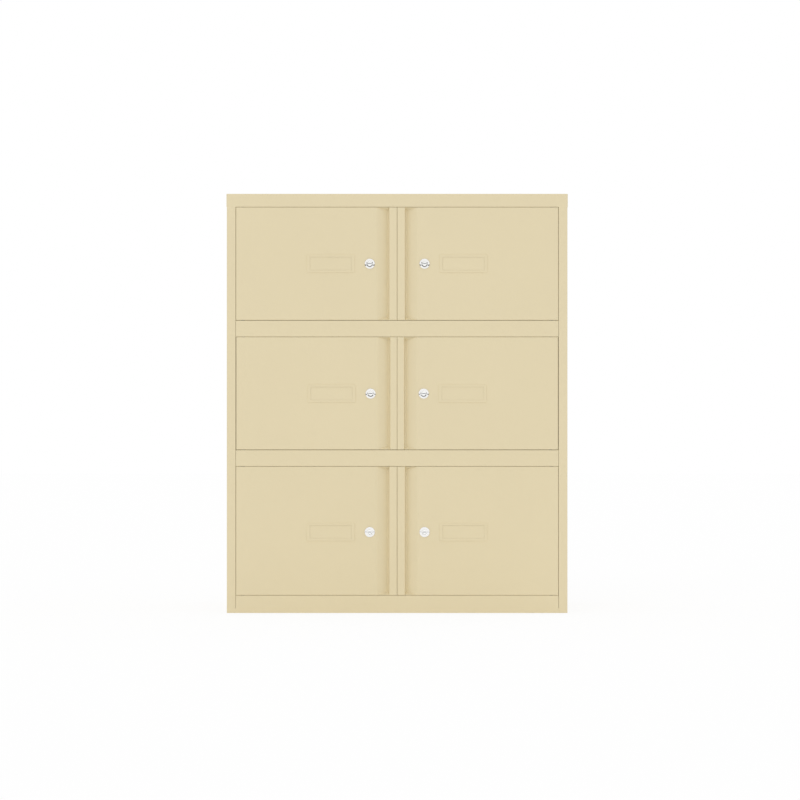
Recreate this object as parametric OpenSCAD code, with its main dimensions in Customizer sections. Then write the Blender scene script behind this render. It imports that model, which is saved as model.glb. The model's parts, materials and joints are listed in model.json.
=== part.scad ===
// Office locker: three tiers of two lockable compartments, folded from sheet steel.
// X runs to the right along the front, Y from the front to the back and Z up from the floor.
// The origin is on the floor, in the middle of the box that the locker fills.

/* [Carcass] */
// Width over the two side panels
body_w = 798.4; // [600:0.2:1100]
// Depth from the front faces to the rear faces
body_d = 470; // [350:1:600]
// Thickness of the carcass sheet
sheet = 0.8; // [0.6:0.1:1.2]
// Outer radius of every fold
bend_r = 1.4; // [1.3:0.1:3]
// Width of the front stile at each side
stile_w = 20.8; // [16:0.1:40]
// Depth of the stile's jamb behind the front
jamb_d = 30; // [26:1:50]
// Width of the lip at the rear of the jamb
jamb_lip_w = 12; // [5:1:15]
// Width of the rear flange of a side panel
rear_flange_w = 20; // [12:1:40]

/* [Tiers] */
// Height of the band across the top
top_band_h = 31; // [20:0.5:60]
// Height of the upper door opening
upper_opening_h = 266; // [220:0.1:400]
// Height of the middle door opening
middle_opening_h = 265.5; // [220:0.1:400]
// Height of the lower door opening
lower_opening_h = 302.7; // [220:0.1:450]
// Height of the rail between two tiers
cross_rail_h = 38.1; // [25:0.1:60]
// Height of the lower opening's sill above the floor
sill_h = 41.6; // [32:0.1:80]
// Depth of a rail's lower flange
rail_flange_d = 30; // [24:1:50]
// Height of the lip at the rear of that flange
rail_lip_h = 8; // [4:0.5:14]
// Height of a shelf's side and rear flanges
shelf_flange_h = 18; // [10:1:24]
// Open joint between a rail's end and the jamb
rail_joint = 0.4; // [0.1:0.1:1]

/* [Base] */
// Height of the plinth strip below the stiles
plinth_h = 11; // [8:0.5:20]
// Thickness of the base plate
base_sheet = 1.2; // [1:0.1:2]
// Clearance between the plinth and the floor with the feet screwed in
floor_gap = 0.5; // [0.5:0.5:4]

/* [Doors] */
// Depth of a closed door, front to back
door_d = 16; // [15:0.5:20]
// Thickness of the door skin
door_sheet = 0.8; // [0.6:0.1:1.2]
// Thickness of the inner door panel
inner_sheet = 0.6; // [0.5:0.1:1]
// Depth of the inner door panel's flanges
inner_flange_d = 5; // [3:0.5:6]
// Shut line at the hinge side
hinge_gap = 0.65; // [0.55:0.05:2.5]
// Shut line between the two doors of a tier
centre_gap = 0.5; // [0.4:0.1:3]
// Shut line above each door
top_gap = 0.5; // [0.5:0.1:2]
// Shut line below an upper door
upper_bottom_gap = 0.8; // [0.5:0.1:3]
// Shut line below a middle door
middle_bottom_gap = 0.9; // [0.5:0.1:3]
// Shut line below a lower door
lower_bottom_gap = 0.5; // [0.5:0.1:3]
// How much nearer to the centre line a middle door's recess, label and lock lie
middle_shift = 2; // [0:0.1:3]
// Shut line at the hinge side of a middle door
middle_hinge_gap = 1.15; // [0.55:0.05:2.5]
// Shut line between the two middle doors
middle_centre_gap = 0.4; // [0.4:0.1:3]

/* [Finger recess] */
// Width of the flush strip at the door's free edge
strip_w = 17.7; // [12:0.1:24]
// Depth of the recess
recess_d = 12; // [8:0.5:12.5]
// Run of the steep wall beside the strip
wall_run = 2.8; // [1.5:0.1:6]
// Width of the ramp from the wall to the flat face
ramp_w = 28; // [24:0.5:40]
// Radius that eases the flat face into the ramp
ramp_r = 20; // [10:1:40]
// Radius at the foot of the wall
foot_r = 2; // [1:0.1:3]
// Height of the slanted wall that closes each end of the recess
recess_end_h = 7; // [4:0.5:12]

/* [Hinges] */
// Distance from the door's hinge edge to the pivot
pivot_in = 16; // [13:0.5:20]
// Distance from the door's face back to the pivot
pivot_back = 5.2; // [5:0.1:6]
// Radius of a pivot pin
pin_r = 2.5; // [1.5:0.1:2.6]
// Radial clearance of the pin in its bush
pin_clear = 0.05; // [0.02:0.01:0.1]
// Wall of the nylon hinge bush
bush_wall = 1.45; // [1:0.05:1.5]
// Length of the bush inside the door
bush_len = 7; // [4:0.5:12]
// Width of the bush's collar beyond its wall
bush_collar_w = 0.9; // [0.5:0.1:1]
// End play between the collar and the rail
bush_play = 0.2; // [0.1:0.05:0.4]
// Distance that a pin reaches into the door
pin_reach = 6; // [3:0.5:10]
// Clearance between a pin's riveted head and the fold beside it
pin_head_clear = 0.1; // [0.05:0.05:0.5]
// Thickness of the pin's head
pin_head_t = 1.5; // [1:0.1:3]
// Radial clearance of pins and bushes in the sheet that holds them
fit_clear = 0.05; // [0.02:0.01:0.1]

/* [Locks] */
// Distance from the door's free edge to the lock
lock_in = 64; // [55:0.1:80]
// Height of the lock above an upper door's lower edge
upper_lock_h = 132.3; // [100:0.1:200]
// Height of the lock above a middle door's lower edge
middle_lock_h = 131.4; // [100:0.1:200]
// Height of the lock above a lower door's lower edge
lower_lock_h = 148.1; // [100:0.1:200]
// Radius of the lock's face at the door
lock_flange_r = 12; // [11:0.1:14]
// Width of the bevel round the face
lock_bevel_w = 1.2; // [0.5:0.1:2]
// Height of the bevel
lock_bevel_h = 1.4; // [0.5:0.1:2]
// How far the lock stands proud of the door
lock_proud = 2.2; // [1.6:0.1:4]
// Depth to which the plug lies behind the ring of the lock's face
dish_d = 1.1; // [0.5:0.1:1.5]
// Width of the slope from the ring down to the plug
dish_slope_w = 1.9; // [0.5:0.1:3]
// Radius of the housing behind the face
housing_r = 9.5; // [8:0.1:10]
// Radial clearance of the housing in the door
housing_clear = 0.1; // [0.05:0.05:0.3]
// Length of the housing behind the door's face
housing_len = 20.5; // [18:0.5:21]
// Radius of the plug
plug_r = 5.7; // [5:0.1:7]
// Radial clearance of the plug in the housing
plug_clear = 0.05; // [0.02:0.01:0.1]
// Width of the key slot
key_slot_w = 8.6; // [6:0.1:10]
// Height of the key slot
key_slot_h = 1.8; // [1.2:0.1:2.5]
// Depth of the key slot
key_slot_d = 14; // [8:1:17]
// Width across the flats of the clamping nut
lock_nut_af = 22; // [21:0.5:23]
// Thickness of the clamping nut
lock_nut_t = 4; // [3:0.5:6]
// Radius of the access hole in the inner door panel
access_r = 16; // [15:0.5:20]

/* [Lock cams] */
// Length of a cam from its axis to its tip
cam_len = 48; // [44:0.5:54]
// Width of a cam
cam_w = 16; // [10:0.5:18]
// Thickness of a cam
cam_t = 2; // [1.5:0.1:3]
// Radius of the cam's hub
cam_hub_r = 9; // [8:0.1:12]
// Side of the square on which the cam sits
cam_square = 7; // [5:0.1:8]
// Clearance between the post's face and the cam behind it
cam_gap = 0.7; // [0.4:0.1:1.5]
// Radius of the cam screw's head
cam_screw_r = 4.5; // [4:0.1:6]
// Thickness of the cam screw's head
cam_screw_t = 2.5; // [1.5:0.1:4]
// Radius of the cam screw's shank
cam_shank_r = 2; // [1.5:0.1:2.2]
// Length of the cam screw's shank
cam_shank_len = 6; // [4:0.5:7]

/* [Label holders] */
// Width of a label holder
label_w = 112; // [80:1:140]
// Height of a label holder
label_h = 42; // [30:1:60]
// Thickness of a label holder
label_t = 1; // [0.8:0.1:2]
// Width of its side bars
label_bar_w = 7; // [5:0.5:12]
// Width of its upper and lower bars
label_bar_h = 5.5; // [4:0.5:10]
// Width of the rebate that holds the card
label_rebate_w = 3; // [1:0.5:4]
// Depth of that rebate
label_rebate_d = 0.5; // [0.3:0.1:0.7]
// Distance from the door's free edge to the middle of the holder
label_in = 155.3; // [125:0.1:220]

/* [Centre posts] */
// Width of the post that the doors close against
post_w = 50; // [44:1:56]
// Clearance between a closed door and the post
post_gap = 5; // [4:0.5:8]
// Depth of the post
post_d = 24; // [14:1:40]
// Clearance round a cam in its slot
slot_clear = 2; // [1:0.5:4]
// Radius of a door buffer
buffer_r = 5; // [3:0.5:7]
// Gap between a closed door and its buffer
buffer_gap = 0.3; // [0.2:0.1:0.6]
// Radius of the buffer's stem
buffer_stem_r = 2; // [1:0.1:3]
// Length of the stem behind the post's face
buffer_stem_len = 4; // [2:0.5:8]
// Distance from the centre line to a buffer
buffer_out = 13; // [8:0.5:17]
// Distance from the end of the opening to a buffer
buffer_end = 45; // [20:1:90]

/* [Levelling feet] */
// Distance from the body's sides to a foot's axis
foot_in = 36; // [25:1:60]
// Distance from the front to a front foot's axis
foot_front = 44; // [25:1:90]
// Distance from the back to a rear foot's axis
foot_back = 29; // [25:1:90]
// Radius of a foot's pad
foot_pad_r = 15; // [10:0.5:20]
// Thickness of a foot's pad
foot_pad_t = 4; // [3:0.5:6]
// Radius of the stud
stud_r = 4; // [3:0.1:5]
// Radial clearance of the stud in its nut
stud_clear = 0.05; // [0.02:0.01:0.1]
// Radial clearance of the stud in the base plate
base_hole_clear = 0.5; // [0.2:0.1:1]
// Height of the top of the stud above the floor
stud_top = 32; // [28:0.5:36]
// Width across the flats of a foot's nut
foot_nut_af = 13; // [12:0.5:17]
// Height of a foot's nut
foot_nut_h = 6.5; // [5:0.5:9]

/* [Hidden] */
$fn = 64;
skin_colour = [0.88, 0.83, 0.70];
inner_colour = [0.84, 0.79, 0.67];
steel_colour = [0.72, 0.73, 0.74];
chrome_colour = [0.88, 0.89, 0.90];
nylon_colour = [0.30, 0.30, 0.30];
rubber_colour = [0.16, 0.16, 0.16];

// Largest turn of one facet in a fold, in degrees, and in a fold wider than wide_fold_r
fold_step = 15;
wide_fold_step = 3;
wide_fold_r = 8;
// Overrun of a cut past the face that it opens
over = 1;
// Six sides of a nut
hexagon = 6;

LOWER = 0;
MIDDLE = 1;
UPPER = 2;
TIERS = ["lower", "middle", "upper"];
SIDES = ["left", "right"];
DOOR_PIECES = ["door_panel", "inner_door_panel", "label_holder", "hinge_bushes",
               "lock_housing", "lock_plug", "lock_cam"];
FEET = ["front_left", "front_right", "rear_left", "rear_right"];

opening_h = [lower_opening_h, middle_opening_h, upper_opening_h];
bottom_gap = [lower_bottom_gap, middle_bottom_gap, upper_bottom_gap];
lock_h = [lower_lock_h, middle_lock_h, upper_lock_h];

// The front plane lies where the overall box, locks included, is centred on the origin
front_y = (lock_proud - body_d) / 2;
half_w = body_w / 2;
opening_half = half_w - stile_w;
plinth_top = floor_gap + plinth_h;

// Floor and ceiling of a tier's door opening
function opening_floor(tier) =
    tier == LOWER ? sill_h : opening_ceiling(tier - 1) + cross_rail_h;
function opening_ceiling(tier) = opening_floor(tier) + opening_h[tier];
body_h = opening_ceiling(UPPER) + top_band_h;

// The back panel lies inside the rear flanges, and the shelves end at it
back_inner_y = body_d - 2 * sheet;
rear_of_interior = back_inner_y;

// Doors: u runs from the free edge to the hinge edge, v back from the face, w up
door_w = opening_half - hinge_gap - centre_gap / 2;
function shift(tier) = tier == MIDDLE ? middle_shift : 0;
// How far a door's free edge and hinge edge lie from those of the plain door
function trim(tier) = tier == MIDDLE ? middle_shift + (middle_centre_gap - centre_gap) / 2 : 0;
function reach(tier) = tier == MIDDLE ? middle_shift + hinge_gap - middle_hinge_gap : 0;
function door_end(tier) = door_w + reach(tier);
function door_x(tier) = centre_gap / 2 - shift(tier);
function door_z(tier) = opening_floor(tier) + bottom_gap[tier];
function door_h(tier) = opening_h[tier] - bottom_gap[tier] - top_gap;
wall_foot = strip_w + wall_run;
ramp_end = wall_foot + ramp_w;
pivot_u = door_w - pivot_in;
bush_r = pin_r + pin_clear + bush_wall;
pin_head_r = pivot_back - bend_r - pin_head_clear;

// The post's face stands behind the doors, and the cams turn behind its sheet
post_y = door_d + post_gap;
post_rear_y = post_y + post_d;
cam_y = post_y + sheet + cam_gap;
lock_nut_y = door_sheet;
foot_nut_z = plinth_top;

// Outlines of folded sheet

function unit(v) = v / norm(v);
function left_of(v) = [-v.y, v.x];
function flat(p) = [p.x, p.y];
function heading(a, b) = unit(flat(b) - flat(a));

// One rounded corner at b, as points that each carry the left-hand normal of the path
function corner(a, b, c) =
    let (
        into = heading(a, b),
        out = heading(b, c),
        angle = atan2(into.x * out.y - into.y * out.x, into * out),
        side = sign(angle),
        r = b[2],
        start = flat(b) - into * r * tan(abs(angle) / 2),
        centre = start + left_of(into) * r * side,
        steps = max(2, ceil(abs(angle) / (r > wide_fold_r ? wide_fold_step : fold_step)))
    )
    [for (i = [0:steps])
        let (t = angle * i / steps, along = into * cos(t) + left_of(into) * sin(t))
        [centre - left_of(along) * r * side, left_of(along)]];

// A whole open path; its inner points carry a radius as their third number
function trace(path) =
    let (last = len(path) - 1)
    concat(
        [[flat(path[0]), left_of(heading(path[0], path[1]))]],
        [for (i = [1:1:last - 1]) each corner(path[i - 1], path[i], path[i + 1])],
        [[flat(path[last]), left_of(heading(path[last - 1], path[last]))]]
    );

// The sheet's section: its face follows the path, and its thickness lies to the left
module folded(path, thickness) {
    traced = trace(path);
    polygon(concat(
        [for (s = traced) s[0]],
        [for (i = [len(traced) - 1:-1:0]) traced[i][0] + thickness * traced[i][1]]
    ));
}

// The area that the path encloses
module enclosed(path) {
    polygon([for (s = trace(path)) s[0]]);
}

// The hollow inside a folded sheet, run out past the open side
module hollow(path, thickness) {
    traced = trace(path);
    last = len(traced) - 1;
    tail = len(path) - 1;
    polygon(concat(
        [traced[0][0] + thickness * traced[0][1] - over * heading(path[0], path[1])],
        [for (s = traced) s[0] + thickness * s[1]],
        [traced[last][0] + thickness * traced[last][1] + over * heading(path[tail - 1], path[tail])]
    ));
}

// Extrudes an outline drawn in Y and Z from x0 to x1
module across(x0, x1) {
    translate([x0, 0, 0]) rotate([90, 0, 90]) linear_extrude(x1 - x0) children();
}

// Extrudes an outline drawn in X and Z from the plane y0 to the plane y1
module through(y0, y1) {
    translate([0, y1, 0]) rotate([90, 0, 0]) linear_extrude(y1 - y0) children();
}

// Turns a shape drawn up Z so that it runs back along Y
module backwards() {
    rotate([-90, 0, 0]) children();
}

module block(x0, x1, y0, y1, z0, z1) {
    translate([x0, y0, z0]) cube([x1 - x0, y1 - y0, z1 - z0]);
}

// Places the carcass so that its front plane is at front_y
module in_frame() {
    translate([0, front_y, 0]) children();
}

module on_side(side) {
    if (side == "left") mirror([1, 0, 0]) children();
    else children();
}

// Moves what is drawn in u, v and w to a door's place behind the front plane
module at_door(tier, side) {
    on_side(side) translate([door_x(tier), 0, door_z(tier)]) children();
}

// Hangs a door's piece, drawn in u, v and w, in its opening
module hang(tier, side) {
    in_frame() at_door(tier, side) children();
}

// Carcass

// One side panel in plan: jamb lip, jamb, stile, skin and rear flange
module side_panel(side) {
    plan = [
        [opening_half + jamb_lip_w, jamb_d],
        [opening_half, jamb_d, bend_r],
        [opening_half, 0, bend_r],
        [half_w, 0, bend_r],
        [half_w, body_d, bend_r],
        [half_w - rear_flange_w, body_d]
    ];
    band_z = body_h - top_band_h;
    skin_x = half_w - sheet;
    color(skin_colour) in_frame() on_side(side) difference() {
        translate([0, 0, plinth_top]) linear_extrude(body_h - bend_r - plinth_top) folded(plan, sheet);
        // The top panel's band laps over the skin and takes the place of the stile above the doors
        block(0, skin_x, -over, body_d + over, band_z, body_h);
        block(0, half_w + over, -over, sheet, band_z, body_h);
        block(0, half_w + over, body_d - sheet, body_d + over, band_z, body_h);
    }
}

// The lid: band and return flange at the front, skirts at the sides and the back
module top_panel() {
    band_z = body_h - top_band_h;
    lid_half = half_w + sheet;
    front_to_back = [
        [rail_flange_d, band_z + rail_lip_h],
        [rail_flange_d, band_z, bend_r],
        [0, band_z, bend_r],
        [0, body_h, bend_r],
        [body_d, body_h, bend_r],
        [body_d, band_z]
    ];
    side_view = [[0, band_z], [0, body_h, bend_r], [body_d, body_h, bend_r], [body_d, band_z]];
    front_view = [
        [-lid_half, band_z - over],
        [-lid_half, body_h, bend_r],
        [lid_half, body_h, bend_r],
        [lid_half, band_z - over]
    ];
    plan = [
        [-lid_half, body_d],
        [-lid_half, 0, bend_r],
        [lid_half, 0, bend_r],
        [lid_half, body_d]
    ];
    color(skin_colour) in_frame() difference() {
        intersection() {
            union() {
                across(-opening_half, opening_half) mirrored_fold(front_to_back);
                // Over the stiles the band's lower edge is welded flush, so it has no fold
                for (side = SIDES) on_side(side) {
                    across(opening_half, lid_half) mirrored_fold(side_view);
                    across(half_w, lid_half) enclosed(side_view);
                }
            }
            through(-over, body_d + over) enclosed(front_view);
            translate([0, 0, band_z - over]) linear_extrude(top_band_h + 2 * over) enclosed(plan);
        }
        pin_holes(UPPER, true);
    }
}

// A fold drawn from front to back has its thickness on the right of the path
module mirrored_fold(path) {
    folded(path, -sheet);
}

// Its edges stay clear of the inside of the folds round it
module back_panel() {
    wide = half_w - bend_r;
    color(skin_colour) in_frame()
        block(-wide, wide, back_inner_y, back_inner_y + sheet, plinth_top, body_h - bend_r);
}

// Inverted tray: a plate with the plinth strip turned down all round
module base_plate() {
    inner = half_w - base_sheet;
    color(skin_colour) in_frame() difference() {
        block(-half_w, half_w, 0, body_d, floor_gap, plinth_top);
        block(-inner, inner, base_sheet, body_d - base_sheet, floor_gap - over, plinth_top - base_sheet);
        at_feet() translate([0, 0, plinth_top - base_sheet - over])
            cylinder(r = stud_r + base_hole_clear, h = base_sheet + 2 * over);
    }
}

// The return below a rail, from its lip to the rail's face
function rail_return(z0) = [
    [rail_flange_d, z0 + rail_lip_h],
    [rail_flange_d, z0, bend_r],
    [0, z0, bend_r]
];

// A shelf and the rail folded down at its front, up to the height z1
module shelf(foot, z1) {
    rail = concat(foot, [[0, z1, bend_r], [jamb_d + over, z1]]);
    wide = half_w - sheet;
    rail_half = opening_half - rail_joint;
    color(skin_colour) in_frame() difference() {
        union() {
            across(-rail_half, rail_half) mirrored_fold(rail);
            difference() {
                block(-wide, wide, jamb_d, rear_of_interior, z1 - shelf_flange_h, z1);
                block(-wide + sheet, wide - sheet, jamb_d - over, rear_of_interior - sheet,
                      z1 - shelf_flange_h - over, z1 - sheet);
            }
        }
        children();
    }
}

// Its rail has no return: the lower edge is welded flush to the plinth
module bottom_shelf() {
    shelf([[0, plinth_top]], opening_floor(LOWER)) pin_holes(LOWER, false);
}

// The shelf above a tier
module shelf_above(tier) {
    shelf(rail_return(opening_ceiling(tier)), opening_floor(tier + 1)) {
        pin_holes(tier, true);
        pin_holes(tier + 1, false);
    }
}

// The web between two compartments, folded at its front into a hollow post
module divider(tier) {
    z0 = opening_floor(tier);
    z1 = opening_ceiling(tier);
    web_top = tier == UPPER ? body_h - sheet : opening_floor(tier + 1) - sheet;
    half_post = post_w / 2;
    half_sheet = sheet / 2;
    plan = [
        [rear_flange_w, back_inner_y],
        [-half_sheet, back_inner_y, bend_r],
        [-half_sheet, post_rear_y, bend_r],
        [-half_post, post_rear_y, bend_r],
        [-half_post, post_y, bend_r],
        [half_post, post_y, bend_r],
        [half_post, post_rear_y, bend_r],
        [half_sheet + bend_r, post_rear_y]
    ];
    color(inner_colour) in_frame() difference() {
        translate([0, 0, z0]) linear_extrude(web_top - z0) folded(plan, sheet);
        block(-half_w, half_w, 0, post_rear_y + bend_r, z1, web_top + over);
        // The web is notched round the rear flange of the shelf above it
        if (tier != UPPER)
            block(-half_w, half_w, rear_of_interior - sheet, rear_of_interior + over,
                  web_top + sheet - shelf_flange_h, web_top + over);
        for (side = SIDES) on_side(side) cam_slot(tier);
        at_buffers(tier) backwards() cylinder(r = buffer_stem_r, h = post_y + over + sheet);
    }
}

// The slot through which a cam swings into the post, long enough for the whole of its sweep
module cam_slot(tier) {
    half_post = post_w / 2;
    lock_x = door_x(tier) + lock_in;
    lock_z = door_z(tier) + lock_h[tier];
    reach = lock_x - half_post;
    sweep = sqrt(max(0, cam_len * cam_len - reach * reach));
    block(half_post - sheet - bend_r, half_post + over,
          cam_y - cam_gap, cam_y + cam_t + slot_clear,
          lock_z - sweep - slot_clear, lock_z + cam_w / 2 + slot_clear);
}

// Hinge pins

module at_pivot(tier, side) {
    at_door(tier, side) translate([pivot_u, pivot_back, 0]) children();
}

// Holes for a tier's pins in the sheet above or below its doors
module pin_holes(tier, above) {
    z = above ? door_h(tier) + top_gap : -bottom_gap[tier] - sheet;
    for (side = SIDES) at_pivot(tier, side) translate([0, 0, z - over])
        cylinder(r = pin_r + fit_clear, h = sheet + 2 * over);
}

// One riveted pin, drawn up Z from the outer face of its sheet at z = 0
module pivot_pin(gap) {
    translate([0, 0, -sheet]) cylinder(r = pin_r, h = sheet + gap + pin_reach);
    translate([0, 0, -sheet - pin_head_t]) cylinder(r = pin_head_r, h = pin_head_t);
}

module pivot_pins() {
    color(steel_colour) in_frame() for (tier = [LOWER:UPPER], side = SIDES) at_pivot(tier, side) {
        translate([0, 0, -bottom_gap[tier]]) pivot_pin(bottom_gap[tier]);
        translate([0, 0, door_h(tier) + top_gap]) mirror([0, 0, 1]) pivot_pin(top_gap);
    }
}

// A bush drawn up Z from the door's edge at z = 0, with its collar outside the door
module hinge_bush(gap) {
    difference() {
        union() {
            cylinder(r = bush_r, h = bush_len);
            translate([0, 0, bush_play - gap]) cylinder(r = bush_r + bush_collar_w, h = gap - bush_play);
        }
        translate([0, 0, -gap]) cylinder(r = pin_r + pin_clear, h = bush_len + gap + over);
    }
}

module hinge_bushes(tier, side) {
    color(nylon_colour) in_frame() at_pivot(tier, side) {
        hinge_bush(bottom_gap[tier]);
        translate([0, 0, door_h(tier)]) mirror([0, 0, 1]) hinge_bush(top_gap);
    }
}

// Doors

// The outer panel in plan, from the hinge edge across the ramp and the strip to the free edge
function door_plan(tier) = [
    [door_end(tier), door_d],
    [door_end(tier), 0, bend_r],
    [ramp_end, 0, ramp_r],
    [wall_foot, recess_d, foot_r],
    [strip_w, 0, bend_r],
    [trim(tier), 0, bend_r],
    [trim(tier), door_d]
];

// The outer panel seen from its hinge side
function door_side(tier) = [
    [door_d, 0],
    [0, 0, bend_r],
    [0, door_h(tier), bend_r],
    [door_d, door_h(tier)]
];

module door_panel(tier, side) {
    h = door_h(tier);
    color(skin_colour) hang(tier, side) difference() {
        intersection() {
            union() {
                linear_extrude(h) enclosed(door_plan(tier));
                recess_ends(h, 0);
            }
            across(trim(tier), door_end(tier)) enclosed(door_side(tier));
        }
        intersection() {
            union() {
                translate([0, 0, -over]) linear_extrude(h + 2 * over) hollow(door_plan(tier), -door_sheet);
                recess_ends(h, door_sheet);
            }
            across(trim(tier), door_end(tier)) hollow(door_side(tier), -door_sheet);
        }
        bush_holes(h);
        at_lock(tier) backwards() translate([0, 0, -over])
            cylinder(r = housing_r + housing_clear, h = door_sheet + 2 * over);
    }
}

// What lies behind the slanted walls at the ends of the recess, set back by a thickness
module recess_ends(h, thickness) {
    back = thickness * norm([recess_d, recess_end_h]) / recess_end_h;
    across(strip_w - bend_r, ramp_end + ramp_r) polygon([
        [back, 0],
        [back + recess_d, recess_end_h],
        [back + recess_d, h - recess_end_h],
        [back, h],
        [door_d + over, h],
        [door_d + over, 0]
    ]);
}

module bush_holes(h) {
    for (z = [0, h]) translate([pivot_u, pivot_back, z - bush_r])
        cylinder(r = bush_r + fit_clear, h = 2 * bush_r);
}

module at_lock(tier) {
    translate([lock_in, 0, lock_h[tier]]) children();
}

// A shallow pan between the returns, flush with their rear edges
module inner_door_panel(tier, side) {
    x0 = trim(tier) + door_sheet;
    x1 = door_end(tier) - door_sheet;
    z0 = door_sheet;
    z1 = door_h(tier) - door_sheet;
    y0 = door_d - inner_sheet - inner_flange_d;
    color(inner_colour) hang(tier, side) difference() {
        block(x0, x1, y0, door_d, z0, z1);
        block(x0 + inner_sheet, x1 - inner_sheet, y0 - over, door_d - inner_sheet,
              z0 + inner_sheet, z1 - inner_sheet);
        at_lock(tier) backwards() cylinder(r = access_r, h = door_d + over);
    }
}

// Label holders

module label_holder(tier, side) {
    w = label_w / 2;
    h = label_h / 2;
    window_w = w - label_bar_w;
    window_h = h - label_bar_h;
    rebate_w = window_w + label_rebate_w;
    rebate_h = window_h + label_rebate_w;
    color(skin_colour) hang(tier, side) translate([label_in, 0, lock_h[tier]]) difference() {
        block(-w, w, -label_t, 0, -h, h);
        block(-window_w, window_w, -label_t - over, over, -window_h, window_h);
        block(-rebate_w, rebate_w, -label_rebate_d, over, -rebate_h, rebate_h);
    }
}

// Locks

// Half of the housing's section: radius, then distance behind the door's face
module housing_section() {
    bore = plug_r + plug_clear;
    rim = lock_flange_r - lock_bevel_w;
    polygon([
        [bore, dish_d - lock_proud],
        [bore + dish_slope_w, -lock_proud],
        [rim, -lock_proud],
        [lock_flange_r, lock_bevel_h - lock_proud],
        [lock_flange_r, 0],
        [housing_r, 0],
        [housing_r, housing_len],
        [bore, housing_len]
    ]);
}

module lock_housing(tier, side) {
    color(chrome_colour) hang(tier, side) at_lock(tier) backwards() {
        rotate_extrude() housing_section();
        translate([0, 0, lock_nut_y]) difference() {
            rotate(180 / hexagon)
                cylinder(d = lock_nut_af / cos(180 / hexagon), h = lock_nut_t, $fn = hexagon);
            translate([0, 0, -over]) cylinder(r = housing_r, h = lock_nut_t + 2 * over);
        }
    }
}

module lock_plug(tier, side) {
    face = dish_d - lock_proud;
    color(chrome_colour) hang(tier, side) at_lock(tier) backwards() difference() {
        union() {
            translate([0, 0, face]) cylinder(r = plug_r, h = cam_y - face);
            translate([-cam_square / 2, -cam_square / 2, cam_y - over])
                cube([cam_square, cam_square, cam_t + over]);
        }
        translate([-key_slot_w / 2, -key_slot_h / 2, face - over])
            cube([key_slot_w, key_slot_h, key_slot_d + over]);
        translate([0, 0, cam_y + cam_t - cam_shank_len])
            cylinder(r = cam_shank_r, h = cam_shank_len + over);
    }
}

// The cam hangs down when it is unlocked; its screw holds it on the plug's square
module lock_cam(tier, side) {
    half = cam_w / 2;
    color(steel_colour) hang(tier, side) at_lock(tier) {
        through(cam_y, cam_y + cam_t) difference() {
            union() {
                circle(r = cam_hub_r);
                translate([-half, half - cam_len]) square([cam_w, cam_len - half]);
                translate([0, half - cam_len]) circle(r = half);
            }
            square(cam_square, center = true);
        }
        translate([0, cam_y + cam_t, 0]) backwards() {
            cylinder(r = cam_screw_r, h = cam_screw_t);
            translate([0, 0, -cam_shank_len]) cylinder(r = cam_shank_r, h = cam_shank_len);
        }
    }
}

// Buffers

module at_buffers(tier) {
    for (side = [-1, 1], z = [opening_floor(tier) + buffer_end, opening_ceiling(tier) - buffer_end])
        translate([side * buffer_out, 0, z]) children();
}

module door_buffers() {
    color(rubber_colour) in_frame() for (tier = [LOWER:UPPER]) at_buffers(tier) backwards() {
        translate([0, 0, door_d + buffer_gap]) cylinder(r = buffer_r, h = post_gap - buffer_gap);
        translate([0, 0, post_y]) cylinder(r = buffer_stem_r, h = buffer_stem_len);
    }
}

// Levelling feet

function foot_x(foot) = (half_w - foot_in) * (foot == "front_left" || foot == "rear_left" ? -1 : 1);
function foot_y(foot) =
    foot == "front_left" || foot == "front_right" ? foot_front : body_d - foot_back;

module at_foot(foot) {
    translate([foot_x(foot), foot_y(foot), 0]) children();
}

module at_feet() {
    for (foot = FEET) at_foot(foot) children();
}

module levelling_foot(foot) {
    color(rubber_colour) in_frame() at_foot(foot) {
        cylinder(r = foot_pad_r, h = foot_pad_t);
        cylinder(r = stud_r, h = stud_top);
    }
}

module foot_nuts() {
    color(steel_colour) in_frame() at_feet() translate([0, 0, foot_nut_z]) difference() {
        cylinder(d = foot_nut_af / cos(180 / hexagon), h = foot_nut_h, $fn = hexagon);
        translate([0, 0, -over]) cylinder(r = stud_r + stud_clear, h = foot_nut_h + 2 * over);
    }
}

side_panel("left");  // left_side_panel
side_panel("right");  // right_side_panel
top_panel();
back_panel();
base_plate();
bottom_shelf();
shelf_above(LOWER);  // lower_shelf
shelf_above(MIDDLE);  // upper_shelf
pivot_pins();
door_buffers();
foot_nuts();
for (foot = FEET) {
    levelling_foot(foot);
}
for (tier = [LOWER:UPPER]) {
    divider(tier);
    for (side = SIDES) {
        door = str(TIERS[tier], "_", side, "_");
        door_panel(tier, side);
        inner_door_panel(tier, side);
        label_holder(tier, side);
        hinge_bushes(tier, side);
        lock_housing(tier, side);
        lock_plug(tier, side);
        lock_cam(tier, side);
    }
}
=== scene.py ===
# %% [markdown]
# # A steel office locker, dressed for the camera
# The construction model already holds every panel, hinge pin and lock of this locker at its real size.
# Here it gets its looks: powder coat, chrome, rubber and zinc, a few finer pieces, light and a camera.
# The first lines load that model as a frame that stays fixed, and keep the box that it fills.

# %% Load the frame
import json
import math

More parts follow.
